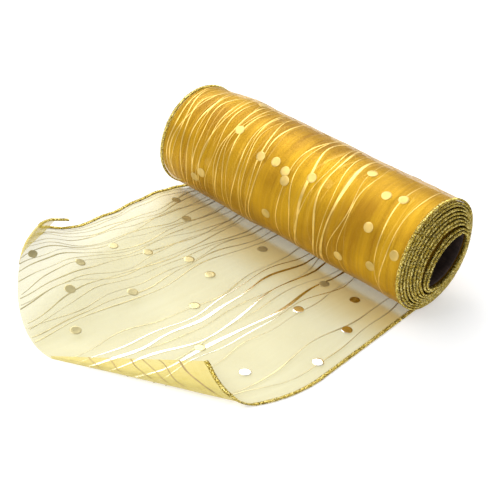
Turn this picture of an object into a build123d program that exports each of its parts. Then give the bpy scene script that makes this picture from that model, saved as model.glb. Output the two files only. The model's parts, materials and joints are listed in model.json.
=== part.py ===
"""A roll of sheer wired-edge ribbon on a squashed paperboard core, with its loose end paid out.

Millimetres, +Z up. The roll's axis runs along Y, the loose end (the tail) lies towards -X, and the
floor is z = 0. The ribbon is one strip from the core to the cut end. Its zones are separate pieces,
because they move differently: the wound roll turns, the lead under the roll travels with it, the tail
stays on the floor, and the folded corner of the tail opens about its crease. "Left" is the edge at +Y
and "right" the edge at -Y, as seen from the cut end.
"""

import os
from math import cos, radians, sin, sqrt

from build123d import *

# ---- driving dimensions -------------------------------------------------------------------------
RIBBON_WIDTH = 150.0  # edge to edge
WEB_THICKNESS = 0.15  # the sheer fabric
BINDING_WIDTH = 2.3  # the metallic thread sewn over each edge
BINDING_THICKNESS = 1.1
WIRE_DIAMETER = 0.4  # the shaping wire inside each binding
WIRE_ROOM = 0.05  # clearance round the wire
FOIL_THICKNESS = 0.06
FOIL_GAP = 0.06  # foil stands this far off the web
DOT_DIAMETER = 5.0

ROLL_RADIUS = 28.9  # outside of the outermost binding
TURNS = 10
TELESCOPE = 0.75  # each turn stands this much further out at the right end
RUNNING_GAP = 0.3  # between the turning roll and the lead under it

CORE_MEAN_RADIUS = 11.6  # outside of the squashed tube: half the sum of its half-axes
CORE_FLATTENING = 14.0  # side radius less tip radius
CORE_TILT = 32.0  # degrees, the long axis above +X
CORE_WALL = 1.2
CORE_RECESS = 1.0  # the tube's right end, inside the innermost binding

LEAD_LENGTH = 16.7  # flat part of the lead, in front of the axis
LEAD_WRAP = 25.0  # degrees of the roll that the lead goes round behind it
ZONE_GAP = 0.3  # between two zones that part when something moves

EDGE_STRAIGHT = 72.2  # the right edge runs straight to this far from the axis
EDGE_BEND_RADIUS = 60.0  # then it bends inwards to the crease
EDGE_BEND_ANGLE = 34.0
CREASE_LENGTH = 95.0
CREASE_ANGLE = 115.2  # degrees from +X, from its right end to its left end
FLAP_HEIGHT = 5.7  # the folded corner's web above the floor
CREASE_RADIUS = 2.3
FAR_CORNER = (-107.2, 75.0)  # where the left edge meets the cut end
END_BULGE = (-136.4, 55.4)  # the cut end's furthest point
LIFT_NEAR = 7.9  # how high the left edge stands: beside the roll, reached over this run,
LIFT_NEAR_RUN = 14.0
LIFT_MIDDLE = 5.9  # then this much more along the tail, from here on, over this run,
LIFT_MIDDLE_START = 31.0
LIFT_MIDDLE_RUN = 50.0
LIFT_CORNER = 13.05  # and this much more at the curled corner
LIFT_CORNER_START = 80.0
LIFT_CORNER_RUN = 30.0
FLAT_WIDTH = 25.0  # how far past the middle the tail lies flat at its end
FLAT_START = 107.0
FLAT_RUN = 40.0

# ---- values that follow -------------------------------------------------------------------------
HALF_WIDTH = RIBBON_WIDTH / 2
WEB_HEIGHT = BINDING_THICKNESS / 2  # the web's middle, where a binding lies on the floor
WEB_HALF_WIDTH = HALF_WIDTH - BINDING_WIDTH
AXIS_HEIGHT = BINDING_THICKNESS + RUNNING_GAP + ROLL_RADIUS
LEAD_RADIUS = AXIS_HEIGHT - WEB_HEIGHT
SPIRAL_OUTER = ROLL_RADIUS - BINDING_THICKNESS / 2
SPIRAL_INNER = CORE_MEAN_RADIUS + BINDING_THICKNESS / 2 + FOIL_GAP
TUNNEL = WIRE_DIAMETER + 2 * WIRE_ROOM
TAIL_START = -LEAD_LENGTH - ZONE_GAP
START_ANGLE = -90.0  # the ribbon leaves the roll at the bottom
ARCS = 4 * TURNS + 1


def direction(angle):
    """The unit vector at an angle, in degrees, as (along X, along Z or Y)."""
    return (cos(radians(angle)), sin(radians(angle)))


# ---- the wound spiral: quarter arcs that grow from the squashed core to a round outside ------------
def spiral_arcs():
    """Centre, radius, first and last angle of each quarter arc, from the outside in."""
    arcs = []
    centre = (0.0, AXIS_HEIGHT)
    boundary = CORE_TILT - 135.0
    radius = SPIRAL_OUTER
    for number in range(ARCS):
        share = number / (4 * TURNS)
        mean = SPIRAL_OUTER + (SPIRAL_INNER - SPIRAL_OUTER) * share
        flattening = CORE_FLATTENING * share
        new_radius = mean + (flattening / 2 if number % 2 == 0 else -flattening / 2)
        if number:
            along, up = direction(boundary)
            centre = (centre[0] + (radius - new_radius) * along, centre[1] + (radius - new_radius) * up)
        radius = new_radius
        arcs.append((centre, radius, boundary, boundary + 90.0))
        boundary += 90.0
    return arcs


SPIRAL = spiral_arcs()


def turn_pieces(first_angle, last_angle):
    """The stretches of the spiral between two angles counted from the start."""
    pieces = []
    for centre, radius, begins, ends in SPIRAL:
        low = max(begins, first_angle)
        high = min(ends, last_angle)
        if high > low:
            pieces.append((centre, radius, low, high))
    return pieces


def spiral_point(piece, angle, offset=0.0):
    """A point of the spiral, moved outwards by an offset."""
    centre, radius = piece[0], piece[1]
    along, up = direction(angle)
    return (centre[0] + (radius + offset) * along, centre[1] + (radius + offset) * up)


def across(y):
    """The upright plane across the roll at y, whose extrusions run towards -Y."""
    return Plane.XZ.offset(-y)


def spiral_band(y, first_angle, last_angle, thickness, offset=0.0):
    """A closed flat band along the spiral, on the plane across y."""
    pieces = turn_pieces(first_angle, last_angle)
    with BuildSketch(across(y)) as band:
        with BuildLine():
            for side in (thickness / 2, -thickness / 2):
                for centre, radius, low, high in pieces:
                    CenterArc(centre, radius + offset + side, low, high - low)
            for piece, angle in ((pieces[0], first_angle), (pieces[-1], last_angle)):
                Line(
                    spiral_point(piece, angle, offset - thickness / 2),
                    spiral_point(piece, angle, offset + thickness / 2),
                )
        make_face()
    return band.sketch


def turn_angles(turn):
    return START_ANGLE + 360.0 * turn, START_ANGLE + 360.0 * (turn + 1)


with BuildPart() as roll_web:
    for turn in range(TURNS):
        band = spiral_band(WEB_HALF_WIDTH - TELESCOPE * turn, *turn_angles(turn), WEB_THICKNESS)
        extrude(band, amount=2 * WEB_HALF_WIDTH)


def wound_binding(outer_edge):
    """One edge's binding over every turn, with a tunnel for its wire."""
    tunnel_edge = outer_edge - (BINDING_WIDTH - TUNNEL) / 2
    with BuildPart() as binding:
        for turn in range(TURNS):
            band = spiral_band(outer_edge - TELESCOPE * turn, *turn_angles(turn), BINDING_THICKNESS)
            extrude(band, amount=BINDING_WIDTH)
        for turn in range(TURNS):
            band = spiral_band(tunnel_edge - TELESCOPE * turn, *turn_angles(turn), TUNNEL)
            extrude(band, amount=TUNNEL, mode=Mode.SUBTRACT)
        for turn in range(1, TURNS):
            seam = turn_angles(turn)[0]
            x, z = spiral_point(turn_pieces(seam, seam + 1.0)[0], seam)
            with Locations((x, tunnel_edge - TELESCOPE * (turn - 0.5) - TUNNEL / 2, z)):
                Box(TUNNEL, TUNNEL + TELESCOPE, TUNNEL, mode=Mode.SUBTRACT)
    return binding.part


def wound_wire(middle):
    """One edge's wire over every turn, with a small step where each turn moves along."""
    with BuildPart() as wire:
        for turn in range(TURNS):
            y = middle - TELESCOPE * turn
            band = spiral_band(y + WIRE_DIAMETER / 2, *turn_angles(turn), WIRE_DIAMETER)
            extrude(band, amount=WIRE_DIAMETER)
        for turn in range(1, TURNS):
            seam = turn_angles(turn)[0]
            x, z = spiral_point(turn_pieces(seam, seam + 1.0)[0], seam)
            with Locations((x, middle - TELESCOPE * (turn - 0.5), z)):
                Box(WIRE_DIAMETER, WIRE_DIAMETER + TELESCOPE, WIRE_DIAMETER)
    return wire.part


roll_left_binding = wound_binding(HALF_WIDTH)
roll_right_binding = wound_binding(BINDING_WIDTH - HALF_WIDTH)
roll_left_wire = wound_wire(HALF_WIDTH - BINDING_WIDTH / 2)
roll_right_wire = wound_wire(BINDING_WIDTH / 2 - HALF_WIDTH)

# ---- the core: a paperboard tube squashed oval, and the tape that starts the ribbon on it ----------
TIP_CENTRE = SPIRAL[4 * TURNS - 1][0]
TIP_AXIS = CORE_TILT + 180.0
TIP_SETBACK = CORE_FLATTENING / sqrt(2)  # from the tube's axis to the centre of each tip
CORE_AXIS = (
    TIP_CENTRE[0] - TIP_SETBACK * direction(TIP_AXIS)[0],
    TIP_CENTRE[1] - TIP_SETBACK * direction(TIP_AXIS)[1],
)
CORE_TIP_RADIUS = SPIRAL[4 * TURNS - 1][1] - BINDING_THICKNESS / 2 - FOIL_GAP
CORE_RIGHT_END = -HALF_WIDTH - TELESCOPE * (TURNS - 1) + CORE_RECESS
CORE_LENGTH = RIBBON_WIDTH - 2 * CORE_RECESS


def oval(y, inset):
    """A squashed circle of four tangent arcs, on the plane across y."""
    with BuildSketch(across(y)) as squashed:
        with BuildLine():
            for quarter in range(4):
                middle = CORE_TILT + 90.0 * quarter
                is_tip = quarter % 2 == 0
                radius = CORE_TIP_RADIUS - inset + (0.0 if is_tip else CORE_FLATTENING)
                setback = TIP_SETBACK if is_tip else -TIP_SETBACK
                along, up = direction(middle)
                centre = (CORE_AXIS[0] + setback * along, CORE_AXIS[1] + setback * up)
                CenterArc(centre, radius, middle - 45.0, 90.0)
        make_face()
    return squashed.sketch


with BuildPart() as core_tube:
    extrude(oval(CORE_RIGHT_END + CORE_LENGTH, 0.0), amount=CORE_LENGTH)
    extrude(oval(CORE_RIGHT_END + CORE_LENGTH, CORE_WALL), amount=CORE_LENGTH, mode=Mode.SUBTRACT)

TAPE_THICKNESS = 0.3
TAPE_WIDTH = 60.0
TAPE_FIRST = START_ANGLE + 360.0 * TURNS - 75.0  # the last stretch of the ribbon that it holds
TAPE_LAST = START_ANGLE + 360.0 * TURNS - 20.0
TAPE_OFFSET = -WEB_THICKNESS / 2 - FOIL_GAP - TAPE_THICKNESS / 2

with BuildPart() as start_tape:
    band = spiral_band(TAPE_WIDTH / 2, TAPE_FIRST, TAPE_LAST, TAPE_THICKNESS, TAPE_OFFSET)
    extrude(band, amount=TAPE_WIDTH)

# ---- foil dots on the outermost turn ----------------------------------------------------------------
DOT_OFFSET = WEB_THICKNESS / 2 + 2 * FOIL_GAP
ROLL_DOT_COUNT = 24
ROLL_DOT_STEP = 137.5  # degrees round the roll from one dot to the next
ROLL_DOT_SHARE = 0.618  # of the width, likewise
ROLL_DOT_FIRST = 20.0
ROLL_DOT_SPAN = 320.0
DOT_MARGIN = 6.0  # the outermost dots' centres, from the bindings
DOT_REACH = 2 * (WEB_HALF_WIDTH - DOT_MARGIN)


def foil_dot(centre, normal):
    """One round dot of foil, standing on a plane through its centre."""
    with BuildSketch(Plane(origin=centre, z_dir=normal)) as dot:
        Circle(DOT_DIAMETER / 2)
    return dot.sketch


with BuildPart() as roll_foil_dots:
    for number in range(ROLL_DOT_COUNT):
        angle = START_ANGLE + ROLL_DOT_FIRST + (ROLL_DOT_STEP * number) % ROLL_DOT_SPAN
        y = DOT_REACH * ((ROLL_DOT_SHARE * number) % 1.0 - 0.5)
        piece = turn_pieces(angle, angle + 1.0)[0]
        along, up = direction(angle)
        x, z = spiral_point(piece, angle, DOT_OFFSET)
        extrude(foil_dot((x, y, z), (along, 0, up)), amount=FOIL_THICKNESS)

# ---- the lead: from the tail, under the roll and a little way up behind it ---------------------------
def lead_band(y, thickness):
    """A closed flat band along the lead, on the plane across y."""
    low, high = WEB_HEIGHT - thickness / 2, WEB_HEIGHT + thickness / 2
    along, up = direction(START_ANGLE + LEAD_WRAP)
    with BuildSketch(across(y)) as band:
        with BuildLine():
            for height in (low, high):
                Line((-LEAD_LENGTH, height), (0.0, height))
                CenterArc((0.0, AXIS_HEIGHT), AXIS_HEIGHT - height, START_ANGLE, LEAD_WRAP)
            Line((-LEAD_LENGTH, low), (-LEAD_LENGTH, high))
            near, far = AXIS_HEIGHT - high, AXIS_HEIGHT - low
            Line((near * along, AXIS_HEIGHT + near * up), (far * along, AXIS_HEIGHT + far * up))
        make_face()
    return band.sketch


with BuildPart() as lead_web:
    extrude(lead_band(WEB_HALF_WIDTH, WEB_THICKNESS), amount=2 * WEB_HALF_WIDTH)


def lead_binding(outer_edge):
    tunnel_edge = outer_edge - (BINDING_WIDTH - TUNNEL) / 2
    with BuildPart() as binding:
        extrude(lead_band(outer_edge, BINDING_THICKNESS), amount=BINDING_WIDTH)
        extrude(lead_band(tunnel_edge, TUNNEL), amount=TUNNEL, mode=Mode.SUBTRACT)
    return binding.part


def lead_wire(middle):
    with BuildPart() as wire:
        with BuildLine(across(middle)) as path:
            Line((-LEAD_LENGTH, WEB_HEIGHT), (0.0, WEB_HEIGHT))
            CenterArc((0.0, AXIS_HEIGHT), LEAD_RADIUS, START_ANGLE, LEAD_WRAP)
        with BuildSketch(Plane(origin=(-LEAD_LENGTH, middle, WEB_HEIGHT), z_dir=(1, 0, 0))):
            Circle(WIRE_DIAMETER / 2)
        sweep(path=path.wires()[0])
    return wire.part


lead_left_binding = lead_binding(HALF_WIDTH)
lead_right_binding = lead_binding(BINDING_WIDTH - HALF_WIDTH)
lead_left_wire = lead_wire(HALF_WIDTH - BINDING_WIDTH / 2)
lead_right_wire = lead_wire(BINDING_WIDTH / 2 - HALF_WIDTH)

# ---- the tail's surface ----------------------------------------------------------------------------
BEND_CENTRE = (-EDGE_STRAIGHT, BINDING_WIDTH / 2 - HALF_WIDTH + EDGE_BEND_RADIUS)
BEND_FIRST = -90.0
BEND_LAST = BEND_FIRST - EDGE_BEND_ANGLE


def bend_point(angle, inset=0.0):
    """A point of the right edge's bend, moved into the web by an inset from the binding's middle."""
    along, up = direction(angle)
    reach = EDGE_BEND_RADIUS - inset
    return (BEND_CENTRE[0] + reach * along, BEND_CENTRE[1] + reach * up)


CREASE_RIGHT = bend_point(BEND_LAST)
CREASE_LEFT = (
    CREASE_RIGHT[0] + CREASE_LENGTH * direction(CREASE_ANGLE)[0],
    CREASE_RIGHT[1] + CREASE_LENGTH * direction(CREASE_ANGLE)[1],
)


def smooth(share):
    """0 up to the start, 1 from the end, and an S curve between."""
    share = min(max(share, 0.0), 1.0)
    return share * share * (3 - 2 * share)


def left_lift(x):
    """How far the tail's left edge stands above the right one."""
    beside_roll = LIFT_NEAR * smooth((TAIL_START - x) / LIFT_NEAR_RUN)
    middle = LIFT_MIDDLE * smooth((-LIFT_MIDDLE_START - x) / LIFT_MIDDLE_RUN)
    corner = LIFT_CORNER * smooth((-LIFT_CORNER_START - x) / LIFT_CORNER_RUN)
    return beside_roll + middle + corner


def tail_height(x, y):
    """The tail web's middle: flat on the right, and rising to the left edge."""
    flat_until = FLAT_WIDTH * smooth((-FLAT_START - x) / FLAT_RUN)
    share = max((y - flat_until) / (HALF_WIDTH - flat_until), 0.0)
    return WEB_HEIGHT + left_lift(x) * share**2


GRID_X = 28  # steps of the sheet that the tail is cut from
GRID_Y = 20
SHEET_END = -156.0
SHEET_MARGIN = 2.0  # how much wider and longer than the tail the sheet is


def tail_slab():
    """A sheet that follows the tail's surface, wider than the tail, to be cut to its outline."""
    rows = []
    for i in range(GRID_X + 1):
        x = TAIL_START + SHEET_MARGIN + (SHEET_END - TAIL_START - SHEET_MARGIN) * i / GRID_X
        row = []
        for j in range(GRID_Y + 1):
            y = -HALF_WIDTH - SHEET_MARGIN + (RIBBON_WIDTH + 2 * SHEET_MARGIN) * j / GRID_Y
            row.append(Vector(x, y, tail_height(x, y)))
        rows.append(row)
    face = Face.make_surface_from_array_of_points(rows, tol=0.02)
    return Solid.thicken(face, WEB_THICKNESS / 2) + Solid.thicken(face, -WEB_THICKNESS / 2)


SHEET_TOP = 60.0  # above anything on the tail
with BuildPart() as tail_web:
    add(tail_slab())
    with BuildSketch(Plane.XY.offset(-1.0)):
        with BuildLine():
            inset = BINDING_WIDTH / 2
            left_corner = (FAR_CORNER[0], WEB_HALF_WIDTH)
            Line((TAIL_START, WEB_HALF_WIDTH), (TAIL_START, -WEB_HALF_WIDTH))
            Line((TAIL_START, -WEB_HALF_WIDTH), (-EDGE_STRAIGHT, -WEB_HALF_WIDTH))
            CenterArc(BEND_CENTRE, EDGE_BEND_RADIUS - inset, BEND_FIRST, -EDGE_BEND_ANGLE)
            Line(bend_point(BEND_LAST, inset), CREASE_LEFT)
            ThreePointArc(CREASE_LEFT, END_BULGE, left_corner)
            Line(left_corner, (TAIL_START, WEB_HALF_WIDTH))
        make_face()
    extrude(amount=SHEET_TOP, mode=Mode.INTERSECT)

# ---- the tail's right edge, which lies on the floor, and its left edge, which stands up ---------------
RIGHT_MIDDLE = BINDING_WIDTH / 2 - HALF_WIDTH


def right_edge_band(height, width):
    """A flat strip along the middle of the right edge, at a height."""
    with BuildSketch(Plane.XY.offset(height)) as strip:
        with BuildLine():
            for side in (-width / 2, width / 2):
                y = RIGHT_MIDDLE + side
                Line((TAIL_START, y), (-EDGE_STRAIGHT, y))
                CenterArc(BEND_CENTRE, EDGE_BEND_RADIUS - side, BEND_FIRST, -EDGE_BEND_ANGLE)
            Line((TAIL_START, RIGHT_MIDDLE - width / 2), (TAIL_START, RIGHT_MIDDLE + width / 2))
            Line(bend_point(BEND_LAST, -width / 2), bend_point(BEND_LAST, width / 2))
        make_face()
    return strip.sketch


with BuildPart() as tail_right_binding:
    extrude(right_edge_band(0.0, BINDING_WIDTH), amount=BINDING_THICKNESS)
    extrude(right_edge_band(WEB_HEIGHT - TUNNEL / 2, TUNNEL), amount=TUNNEL, mode=Mode.SUBTRACT)

with BuildPart() as tail_right_wire:
    with BuildLine(Plane.XY.offset(WEB_HEIGHT)) as right_path:
        Line((TAIL_START, RIGHT_MIDDLE), (-EDGE_STRAIGHT, RIGHT_MIDDLE))
        CenterArc(BEND_CENTRE, EDGE_BEND_RADIUS, BEND_FIRST, -EDGE_BEND_ANGLE)
    with BuildSketch(Plane(origin=(TAIL_START, RIGHT_MIDDLE, WEB_HEIGHT), z_dir=(-1, 0, 0))):
        Circle(WIRE_DIAMETER / 2)
    sweep(path=right_path.wires()[0])

LEFT_EDGE_SPANS = 14  # between the points that its curve goes through


def left_edge_point(share, above=0.0):
    """A point of the left edge from the roll (0) to the corner (1), as (x, z)."""
    x = TAIL_START + (FAR_CORNER[0] - TAIL_START) * share
    return (x, tail_height(x, HALF_WIDTH - BINDING_WIDTH / 2) + above)


def left_edge_band(y, thickness):
    """A closed band along the left edge, on the plane across y."""
    shares = [i / LEFT_EDGE_SPANS for i in range(LEFT_EDGE_SPANS + 1)]
    below = [left_edge_point(share, -thickness / 2) for share in shares]
    above = [left_edge_point(share, thickness / 2) for share in reversed(shares)]
    with BuildSketch(across(y)) as band:
        with BuildLine():
            Spline(*below)
            Line(below[-1], above[0])
            Spline(*above)
            Line(above[-1], below[0])
        make_face()
    return band.sketch


LEFT_TUNNEL = HALF_WIDTH - (BINDING_WIDTH - TUNNEL) / 2
LEFT_WIRE = HALF_WIDTH - (BINDING_WIDTH - WIRE_DIAMETER) / 2

with BuildPart() as tail_left_binding:
    extrude(left_edge_band(HALF_WIDTH, BINDING_THICKNESS), amount=BINDING_WIDTH)
    extrude(left_edge_band(LEFT_TUNNEL, TUNNEL), amount=TUNNEL, mode=Mode.SUBTRACT)

with BuildPart() as tail_left_wire:
    extrude(left_edge_band(LEFT_WIRE, WIRE_DIAMETER), amount=WIRE_DIAMETER)

# ---- foil dots on the tail ---------------------------------------------------------------------------
TAIL_DOT_COUNT = 16
TAIL_DOT_FIRST = -24.0  # the first dot's distance from the roll's axis
TAIL_DOT_STEP = 6.2  # from one dot to the next along the tail
TAIL_DOT_OFFSET = 0.3  # a flat disc stands this far off the curved web
SLOPE_STEP = 0.5


def tail_dot_centre(number):
    """Dots scattered over the tail: even steps along it, golden-section steps across it."""
    share = (ROLL_DOT_SHARE * number + 0.5) % 1.0
    x = TAIL_DOT_FIRST - TAIL_DOT_STEP * number
    lowest = -DOT_REACH / 2 + DOT_REACH * number / (2 * TAIL_DOT_COUNT)
    return (x, lowest + (DOT_REACH / 2 - lowest) * share)


with BuildPart() as tail_foil_dots:
    for number in range(TAIL_DOT_COUNT):
        x, y = tail_dot_centre(number)
        slope_x = (tail_height(x + SLOPE_STEP, y) - tail_height(x - SLOPE_STEP, y)) / (2 * SLOPE_STEP)
        slope_y = (tail_height(x, y + SLOPE_STEP) - tail_height(x, y - SLOPE_STEP)) / (2 * SLOPE_STEP)
        normal = Vector(-slope_x, -slope_y, 1).normalized()
        centre = Vector(x, y, tail_height(x, y)) + normal * TAIL_DOT_OFFSET
        extrude(foil_dot(centre, normal), amount=FOIL_THICKNESS)

# ---- the folded corner, which opens about its crease ---------------------------------------------------
CREASE_ALONG = direction(CREASE_ANGLE)
CREASE_OUT = (-CREASE_ALONG[1], CREASE_ALONG[0])  # away from the tail
CREASE_HEIGHT = FLAP_HEIGHT - CREASE_RADIUS
FLAP_START = 5.0  # along the crease, where the right edge has turned over
FLAP_EDGE_LENGTH = 32.0  # the folded part of the right edge
FLAP_EDGE_ANGLE = 72.0
FLAP_END_SHARE = 0.96  # of the crease, where the cut end runs out


def crease_point(distance):
    return (CREASE_RIGHT[0] + distance * CREASE_ALONG[0], CREASE_RIGHT[1] + distance * CREASE_ALONG[1])


FLAP_FOOT = crease_point(FLAP_START)
FLAP_TOE = crease_point(CREASE_LENGTH * FLAP_END_SHARE)
FLAP_EDGE = direction(FLAP_EDGE_ANGLE)
FLAP_EDGE_SIDE = (-FLAP_EDGE[1], FLAP_EDGE[0])


def flap_edge_point(distance, inset):
    """A point of the folded right edge, moved into the flap by an inset."""
    return (
        FLAP_FOOT[0] + distance * FLAP_EDGE[0] + inset * FLAP_EDGE_SIDE[0],
        FLAP_FOOT[1] + distance * FLAP_EDGE[1] + inset * FLAP_EDGE_SIDE[1],
    )


FLAP_OVERLAP = 3.0  # the binding starts this far in from the crease

with BuildPart() as flap_web:
    with BuildSketch(Plane.XY.offset(FLAP_HEIGHT - WEB_THICKNESS / 2)):
        with BuildLine():
            Polyline(
                flap_edge_point(0.0, 0.0),
                flap_edge_point(FLAP_EDGE_LENGTH, 0.0),
                FLAP_TOE,
                close=True,
            )
        make_face()
    extrude(amount=WEB_THICKNESS)
    crease_plane = Plane(
        origin=(*FLAP_FOOT, CREASE_HEIGHT),
        x_dir=(*CREASE_OUT, 0),
        z_dir=(*CREASE_ALONG, 0),
    )
    with BuildSketch(crease_plane):
        with BuildLine():
            for radius in (CREASE_RADIUS - WEB_THICKNESS / 2, CREASE_RADIUS + WEB_THICKNESS / 2):
                CenterArc((0, 0), radius, -90.0, 180.0)
            for end in (-1.0, 1.0):
                Line(
                    (0, end * (CREASE_RADIUS - WEB_THICKNESS / 2)),
                    (0, end * (CREASE_RADIUS + WEB_THICKNESS / 2)),
                )
        make_face()
    extrude(amount=CREASE_LENGTH * FLAP_END_SHARE - FLAP_START)


def flap_edge_strip(height, width):
    """A flat strip along the middle of the folded right edge, at a height."""
    with BuildSketch(Plane.XY.offset(height)) as strip:
        with BuildLine():
            Polyline(
                flap_edge_point(FLAP_OVERLAP, -width / 2 - BINDING_WIDTH / 2),
                flap_edge_point(FLAP_EDGE_LENGTH, -width / 2 - BINDING_WIDTH / 2),
                flap_edge_point(FLAP_EDGE_LENGTH, width / 2 - BINDING_WIDTH / 2),
                flap_edge_point(FLAP_OVERLAP, width / 2 - BINDING_WIDTH / 2),
                close=True,
            )
        make_face()
    return strip.sketch


with BuildPart() as flap_binding:
    extrude(flap_edge_strip(FLAP_HEIGHT - BINDING_THICKNESS / 2, BINDING_WIDTH), amount=BINDING_THICKNESS)
    extrude(flap_edge_strip(FLAP_HEIGHT - TUNNEL / 2, TUNNEL), amount=TUNNEL, mode=Mode.SUBTRACT)

with BuildPart() as flap_wire:
    wire_start = flap_edge_point(FLAP_OVERLAP, -BINDING_WIDTH / 2)
    with BuildSketch(Plane(origin=(*wire_start, FLAP_HEIGHT), z_dir=(*FLAP_EDGE, 0))):
        Circle(WIRE_DIAMETER / 2)
    extrude(amount=FLAP_EDGE_LENGTH - FLAP_OVERLAP)

# ---- hand over -------------------------------------------------------------------------------------
PIECES = {
    "core_tube": core_tube.part,
    "start_tape": start_tape.part,
    "roll_web": roll_web.part,
    "roll_left_binding": roll_left_binding,
    "roll_right_binding": roll_right_binding,
    "roll_left_wire": roll_left_wire,
    "roll_right_wire": roll_right_wire,
    "roll_foil_dots": roll_foil_dots.part,
    "lead_web": lead_web.part,
    "lead_left_binding": lead_left_binding,
    "lead_right_binding": lead_right_binding,
    "lead_left_wire": lead_left_wire,
    "lead_right_wire": lead_right_wire,
    "tail_web": tail_web.part,
    "tail_left_binding": tail_left_binding.part,
    "tail_right_binding": tail_right_binding.part,
    "tail_left_wire": tail_left_wire.part,
    "tail_right_wire": tail_right_wire.part,
    "tail_foil_dots": tail_foil_dots.part,
    "flap_web": flap_web.part,
    "flap_binding": flap_binding.part,
    "flap_wire": flap_wire.part,
}

# The origin is on the floor, at the middle of the box round the whole object.
boxes = [piece.bounding_box() for piece in PIECES.values()]
middle_x = (min(box.min.X for box in boxes) + max(box.max.X for box in boxes)) / 2
middle_y = (min(box.min.Y for box in boxes) + max(box.max.Y for box in boxes)) / 2
to_origin = Location((-middle_x, -middle_y, 0))

os.makedirs("parts", exist_ok=True)
for name, piece in PIECES.items():
    placed = piece.moved(to_origin)
    placed.label = name
    export_step(placed, f"parts/{name}.step")
    print(name, "solids", len(placed.solids()), "volume", round(placed.volume, 1))

print("roll axis at", to_origin.position + Vector(0, 0, AXIS_HEIGHT))
print("crease from", to_origin.position + Vector(*CREASE_RIGHT, CREASE_HEIGHT), "along", CREASE_ALONG)
wound = turn_pieces(START_ANGLE, START_ANGLE + 360.0 * TURNS)
print("ribbon wound on the roll", sum(radians(high - low) * radius for _, radius, low, high in wound))
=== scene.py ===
"""The looks of a roll of gold sheer wired-edge ribbon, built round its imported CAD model.

Every shape is worked out in millimetres from the roll's own axis (x away from the loose end, y along
the axis towards the ribbon's left edge, z up from the floor) and placed in the frame in metres.
The ribbon is one strip: its length is counted from where it touches the roll, s = 0, along the roll
for s > 0 and along the tail for s < 0, and its width from the right edge, v = 0, to the left, v = 1.
"""

import json
import math

import bpy
import numpy as np
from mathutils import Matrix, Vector


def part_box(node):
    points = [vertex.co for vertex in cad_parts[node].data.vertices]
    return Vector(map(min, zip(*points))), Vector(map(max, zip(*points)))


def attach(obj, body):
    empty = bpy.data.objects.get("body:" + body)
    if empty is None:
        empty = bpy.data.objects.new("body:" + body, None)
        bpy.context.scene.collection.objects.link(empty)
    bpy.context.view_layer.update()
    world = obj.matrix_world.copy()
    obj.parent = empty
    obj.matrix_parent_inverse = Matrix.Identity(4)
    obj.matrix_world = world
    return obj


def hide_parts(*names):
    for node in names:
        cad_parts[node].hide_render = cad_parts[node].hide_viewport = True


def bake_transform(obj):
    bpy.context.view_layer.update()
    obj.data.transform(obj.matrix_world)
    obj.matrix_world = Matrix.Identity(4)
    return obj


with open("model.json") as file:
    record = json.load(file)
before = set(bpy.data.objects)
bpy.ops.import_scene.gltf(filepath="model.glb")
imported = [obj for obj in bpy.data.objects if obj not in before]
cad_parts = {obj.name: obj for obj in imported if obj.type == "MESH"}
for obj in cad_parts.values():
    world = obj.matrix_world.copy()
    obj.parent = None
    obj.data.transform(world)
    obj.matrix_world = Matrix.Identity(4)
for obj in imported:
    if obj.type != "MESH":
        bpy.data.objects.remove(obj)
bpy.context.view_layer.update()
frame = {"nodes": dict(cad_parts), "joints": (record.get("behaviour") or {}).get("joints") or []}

# ---- sizes, in millimetres -------------------------------------------------------------------------
MM = 0.001
JOINTS = {joint["name"]: joint for joint in frame["joints"]}
AXIS_X, AXIS_Y, AXIS_Z = JOINTS["roll_turn"]["pos_m"]
ROLL_HEIGHT = AXIS_Z / MM
HALF_WIDTH = 75.0
EDGE_MIDDLE = 73.85  # the middle of each binding, from the ribbon's middle
BINDING_HALF = 1.15
BINDING_RISE = 0.55
ROLL_RADIUS = 28.9
TURNS = 10
TELESCOPE = 0.75
CORE_MEAN = 11.6
CORE_FLATTENING = 14.0
CORE_TILT = 32.0
CORE_WALL = 1.2
FLOOR_WEB = 0.55  # the web's height where a binding lies on the floor
TAIL_START = -17.0
START_ANGLE = -90.0  # where the wound ribbon touches the floor, in degrees from +X
UNDER_FOIL = 0.06  # room for the foil between two turns
SENSOR_WIDTH = 36.0
LENS = 106.6

rng = np.random.default_rng(11)


def place(points):
    """Millimetres from the roll's axis, as metres in the frame."""
    return np.asarray(points, float) * MM + np.array([AXIS_X, AXIS_Y, 0.0])


def smooth(t):
    """From 0 to 1 with no slope at either end."""
    t = np.clip(t, 0.0, 1.0)
    return t * t * (3 - 2 * t)


# ---- the camera comes first --------------------------------------------------------------------------
VIEW_FROM = (-440.95, -376.23, 432.54)
VIEW_AZIMUTH = 46.56
VIEW_DOWN = 37.03
camera = bpy.data.objects.new("camera", bpy.data.cameras.new("camera"))
bpy.context.scene.collection.objects.link(camera)
camera.location = place(VIEW_FROM)
look = Vector(
    (
        math.sin(math.radians(VIEW_AZIMUTH)) * math.cos(math.radians(VIEW_DOWN)),
        math.cos(math.radians(VIEW_AZIMUTH)) * math.cos(math.radians(VIEW_DOWN)),
        -math.sin(math.radians(VIEW_DOWN)),
    )
)
camera.rotation_mode = "QUATERNION"
camera.rotation_quaternion = look.to_track_quat("-Z", "Y")
camera.data.sensor_width = SENSOR_WIDTH
camera.data.lens = LENS
camera.data.clip_start = 0.01
bpy.context.scene.camera = camera


# ---- materials ------------------------------------------------------------------------------------
def new_material(name):
    material = bpy.data.materials.new(name)
    material.use_nodes = True
    nodes, links = material.node_tree.nodes, material.node_tree.links
    shader = next(n for n in nodes if n.type == "BSDF_PRINCIPLED")
    return material, nodes, links, shader


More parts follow.
